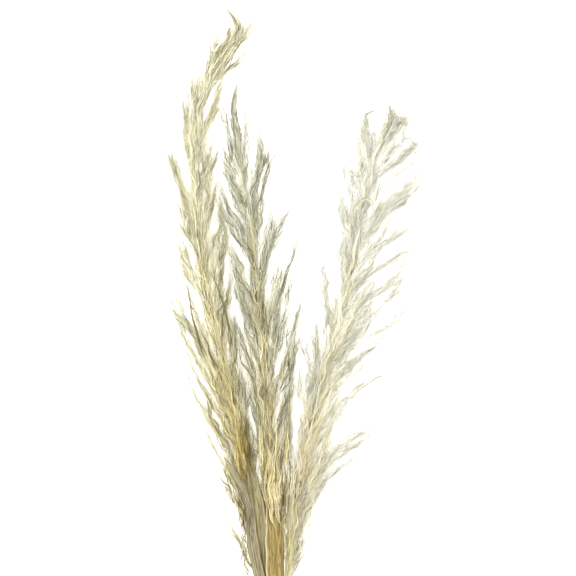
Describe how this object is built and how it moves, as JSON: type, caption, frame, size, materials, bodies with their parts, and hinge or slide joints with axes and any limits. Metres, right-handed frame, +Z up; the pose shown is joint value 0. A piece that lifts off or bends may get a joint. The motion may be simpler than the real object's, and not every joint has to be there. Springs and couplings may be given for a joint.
{
  "type": "dried plume grass bunch",
  "caption": "Dried plume grass: long feathery cream plumes on straw culms, with dry leaves at their foot, tied with twine and lying down.",
  "frame": {"origin": "on the surface that the bunch lies on, under the middle of its bounding box", "axes": "+Y along the stalks, from the cut ends to the plumes' tips; +Z up from the surface; +X to the right seen from above with the tips away"},
  "size_m": [0.2626, 0.9036, 0.055],
  "materials": {
    "straw": "dry straw, satin",
    "cream_plume": "silky dry hairs",
    "khaki_plume": "silky dry hairs",
    "pale_plume": "silky dry hairs",
    "grey_leaf": "dry leaf, matte",
    "olive_leaf": "dry leaf, matte",
    "ochre_leaf": "dry leaf, satin",
    "jute": "twisted jute twine, matte"
  },
  "bodies": {
    "root": {"culm_left": "straw", "culm_centre": "straw", "culm_right": "straw", "plume_left": "cream_plume", "plume_centre": "khaki_plume", "plume_right": "pale_plume", "leaf_strap": "grey_leaf", "leaf_sheath": "olive_leaf", "leaf_ochre": "ochre_leaf", "tie": "jute"}
  },
  "joints": []
}
